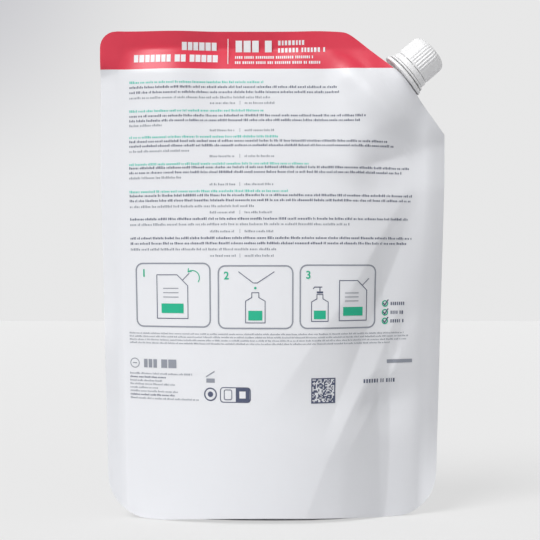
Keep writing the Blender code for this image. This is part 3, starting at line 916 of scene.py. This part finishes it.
def capOutline():
    base, length = closure["base"], closure["capLength"]
    outer, size = closure["capRadius"] - ribs["height"], closure["edgeRadius"] - ribs["height"]
    inner, ceiling = closure["wallRadius"], base + length - closure["top"]
    plug, wall = closure["plugRadius"], closure["plugWall"]
    low = ceiling - closure["plugLength"]
    hem, middle, mouth = closure["hemRound"], closure["hemMiddle"], closure["mouthChamfer"]
    points = [(0, base + length), (closure["flatRadius"], base + length)]
    for turn in np.linspace(math.pi / 2, 0, closure["edgeSteps"] + 1):
        points.append((outer - size + size * math.cos(turn), base + length - size + size * math.sin(turn)))
    for share in np.linspace(0, 1, closure["wallSteps"])[1:-1]:
        points.append((outer, base + length - size - (length - size - hem) * share))
    points += [(outer, base + hem), (outer - middle, base + middle), (outer - hem, base)]
    points += [(inner + mouth, base), (inner, base + mouth), (inner, ceiling - closure["ceilingChamfer"])]
    points += [(inner - closure["ceilingChamfer"], ceiling), (plug, ceiling), (plug, low + closure["plugChamfer"])]
    points += [(plug - closure["plugChamfer"], low), (plug - wall, low), (plug - wall, ceiling), (0, ceiling)]
    return points


thread = dict(
    lead=6, starts=2, rootHalf=0.75, crestHalf=0.3, sunk=0.15, stepsPerTurn=60, fadeSteps=9, endSize=0.4,
    neckCrest=7.1, neckTurns=1.05, neckLow=8.6, capCrest=6.6, capTurns=0.9, capLow=8.4, capLag=0.5,
)


# A helical ridge: radius and half width at its root and at its crest, faded at both ends
def threadShape(root, crest, start, turns, low):
    shape = bmesh.new()
    steps = int(turns * thread["stepsPerTurn"])
    sunk = thread["sunk"] if crest < root else -thread["sunk"]
    half, slim = thread["rootHalf"], thread["crestHalf"]
    profile = [(root, -half), (crest, -slim), (crest, slim), (root, half)]
    lines = []
    for i in range(steps + 1):
        share = i / steps
        angle = start + 2 * math.pi * turns * share
        run = steps / thread["fadeSteps"]
        fade = float(ease(share * run) * ease((1 - share) * run))
        size = thread["endSize"] + (1 - thread["endSize"]) * fade
        line = []
        for radius, offset in profile:
            r = root + (radius - root) * fade + sunk * (radius == root)
            z = low + thread["lead"] * turns * share + offset * size
            line.append((r * math.cos(angle) * metre, r * math.sin(angle) * metre, z * metre))
        lines.append(line)
    gridShape(lines, shape)
    bmesh.ops.recalc_face_normals(shape, faces=shape.faces)
    for face in shape.faces:
        face.smooth = True
    return shape


def addTurned(name, shape, material, body, sharp):
    bmesh.ops.transform(shape, matrix=spoutMatrix(), verts=shape.verts)
    piece = addPiece(name, shape, [material], body)
    piece.data.set_sharp_from_angle(angle=math.radians(sharp))
    return piece


plastic = dict(colour=(0.9, 0.9, 0.905), spoutPeel=900, bandPeel=1000, capPeel=1100, capSharp=55, threadSharp=40)
spoutPlastic = makeMouldedMaterial("spoutPlastic", plastic["colour"], plastic["spoutPeel"])
bandPlastic = makeMouldedMaterial("bandPlastic", plastic["colour"], plastic["bandPeel"])
capPlastic = makeMouldedMaterial("capPlastic", plastic["colour"], plastic["capPeel"])

for nodeName, material in (("spout_fitment", spoutPlastic), ("tamper_band", bandPlastic)):
    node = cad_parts[nodeName]
    for place in node.material_slots:
        place.material = material

capShape = turnedShape(capOutline(), closure["steps"], ribChange)
cap = addTurned("capShell", capShape, capPlastic, "cap", plastic["capSharp"])
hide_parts("screw_cap")
for index in range(thread["starts"]):
    start = 2 * math.pi * index / thread["starts"]
    lag = start + math.pi * thread["capLag"]
    neckThread = threadShape(spout["neck"], thread["neckCrest"], start, thread["neckTurns"], thread["neckLow"])
    addTurned(f"neckThread{index + 1}", neckThread, spoutPlastic, "root", plastic["threadSharp"])
    capThread = threadShape(closure["wallRadius"], thread["capCrest"], lag, thread["capTurns"], thread["capLow"])
    addTurned(f"capThread{index + 1}", capThread, capPlastic, "cap", plastic["threadSharp"])

bridges = dict(count=10, radius=8.35, deep=0.9, wide=0.8, tall=0.28, lift=0.13, sharp=30)


# The bridges that join a new cap to its tamper band
def makeBridges():
    shape = bmesh.new()
    size = Matrix.Diagonal((bridges["deep"], bridges["wide"], bridges["tall"], 1))
    place = Matrix.Translation((bridges["radius"], 0, closure["bandTop"] + bridges["lift"]))
    for i in range(bridges["count"]):
        turn = Matrix.Rotation(2 * math.pi * (i + 0.5) / bridges["count"], 4, "Z")
        made = bmesh.ops.create_cube(shape, size=1)["verts"]
        bmesh.ops.transform(shape, matrix=Matrix.Scale(metre, 4) @ turn @ place @ size, verts=made)
    return shape


addTurned("tamperBridges", makeBridges(), bandPlastic, "band", bridges["sharp"])
print("spout, band and cap made")


# Floor, backdrop, lights and camera, in metres

studio = dict(
    # The backdrop's paper tone, and the darker tone of the shade painted on it towards the upper left
    paper=(0.805, 0.805, 0.805), paperShade=(0.56, 0.56, 0.59), ambient=0.36,
    key=dict(azimuth=-40, elevation=45, strength=2.24, spread=32),
    fill=dict(azimuth=20, elevation=20, strength=0.25, spread=60),
)
ground = dict(
    half=6, drop=0.0002, colour=(0.62, 0.62, 0.63), grain=3, grainDark=0.99, rough=0.9, seen=0.22, glow=0.572,
)
# The backdrop: where its painted shade is darkest, and the distances over which that painted shade fades out
backWall = dict(half=4, place=(0, 2.4, 3.9), shadedCorner=(-0.75, 2.4, 0.82), shadeFrom=0.05, shadeTo=0.62)
photoCamera = dict(lens=93.93, sensor=36, place=(-0.0011, -0.626, 0.1093))


def addSheet(name, segments, half, place):
    shape = bmesh.new()
    bmesh.ops.create_grid(shape, x_segments=segments, y_segments=segments, size=half)
    mesh = bpy.data.meshes.new(name)
    shape.to_mesh(mesh)
    shape.free()
    sheet = addObject(name, mesh)
    sheet.location = place
    return sheet


# The floor shows its own tone to the camera, and bounces a lighter one
def makeFloor():
    floor = addSheet("floor", 4, ground["half"], (0, 0, -ground["drop"]))
    material, tree, shader = newMaterial("floorPaper")
    grain = addNode(tree, "TexNoise")
    put(grain, "Scale", ground["grain"])
    tone = addNode(tree, "Mix", data_type="RGBA")
    put(tone, "A", (*ground["colour"], 1))
    put(tone, "B", (*[value * ground["grainDark"] for value in ground["colour"]], 1))
    join(tree, grain, "Fac", tone, "Factor")
    seen = addNode(tree, "LightPath")
    shown = addNode(tree, "Mix", data_type="RGBA")
    put(shown, "B", (*[ground["seen"]] * 3, 1))
    join(tree, seen, "Is Camera Ray", shown, "Factor")
    join(tree, tone, "Result", shown, "A")
    join(tree, shown, "Result", shader, "Base Color")
    put(shader, "Roughness", ground["rough"])
    glow = addNode(tree, "Math", operation="MULTIPLY")
    put(glow, 1, ground["glow"])
    join(tree, seen, "Is Camera Ray", glow, 0)
    join(tree, glow, 0, shader, "Emission Strength")
    put(shader, "Emission Color", (1, 1, 1, 1))
    floor.data.materials.append(material)


# The backdrop glows with the paper tone, and painted shade darkens it smoothly towards the upper left
def makeBackdrop():
    backdrop = addSheet("backdrop", 1, backWall["half"], backWall["place"])
    backdrop.rotation_euler = (math.radians(90), 0, 0)
    backdrop.visible_shadow = False
    backdrop.visible_diffuse = False
    material, tree, shader = newMaterial("backdropPaper")
    place = addNode(tree, "NewGeometry")
    corner = addNode(tree, "VectorMath", operation="DISTANCE")
    put(corner, 1, backWall["shadedCorner"])
    shadeFalloff = addNode(tree, "MapRange", interpolation_type="SMOOTHSTEP")
    put(shadeFalloff, "From Min", backWall["shadeFrom"])
    put(shadeFalloff, "From Max", backWall["shadeTo"])
    tone = addNode(tree, "Mix", data_type="RGBA")
    put(tone, "A", (*studio["paperShade"], 1))
    put(tone, "B", (*studio["paper"], 1))
    light = addNode(tree, "Emission")
    join(tree, place, "Position", corner, 0)
    join(tree, corner, "Value", shadeFalloff, "Value")
    join(tree, shadeFalloff, "Result", tone, "Factor")
    join(tree, tone, "Result", light, "Color")
    tree.links.new(light.outputs["Emission"], tree.nodes["Material Output"].inputs["Surface"])
    tree.nodes.remove(shader)
    backdrop.data.materials.append(material)


def makeWorld():
    world = bpy.data.worlds.new("studioAir")
    bpy.context.scene.world = world
    world.use_nodes = True
    tree = world.node_tree
    air = tree.nodes["Background"]
    put(air, "Color", (1, 1, 1, 1))
    put(air, "Strength", studio["ambient"])
    paper = addNode(tree, "Background")
    put(paper, "Color", (*studio["paper"], 1))
    seen = addNode(tree, "LightPath")
    either = addNode(tree, "Math", operation="MAXIMUM")
    mix = addNode(tree, "MixShader")
    join(tree, seen, "Is Camera Ray", either, 0)
    join(tree, seen, "Is Transmission Ray", either, 1)
    join(tree, either, 0, mix, "Fac")
    join(tree, air, "Background", mix, 1)
    join(tree, paper, "Background", mix, 2)
    tree.links.new(mix.outputs["Shader"], tree.nodes["World Output"].inputs["Surface"])


def addSun(name, azimuth, elevation, strength, spread):
    lamp = bpy.data.lights.new(name, "SUN")
    lamp.energy = strength
    lamp.angle = math.radians(spread)
    sun = addObject(name, lamp)
    turn, rise = math.radians(azimuth), math.radians(elevation)
    source = Vector((math.sin(turn) * math.cos(rise), -math.cos(turn) * math.cos(rise), math.sin(rise)))
    sun.rotation_euler = source.to_track_quat("Z", "Y").to_euler()


def addCamera():
    lens = bpy.data.cameras.new("photoCamera")
    lens.lens = photoCamera["lens"]
    lens.sensor_width = photoCamera["sensor"]
    camera = addObject("photoCamera", lens)
    camera.location = photoCamera["place"]
    camera.rotation_euler = (math.radians(90), 0, 0)
    bpy.context.scene.camera = camera


makeFloor()
makeBackdrop()
makeWorld()
addSun("keyLight", **studio["key"])
addSun("fillLight", **studio["fill"])
addCamera()
bpy.context.scene.view_settings.view_transform = "Standard"
print("studio made")
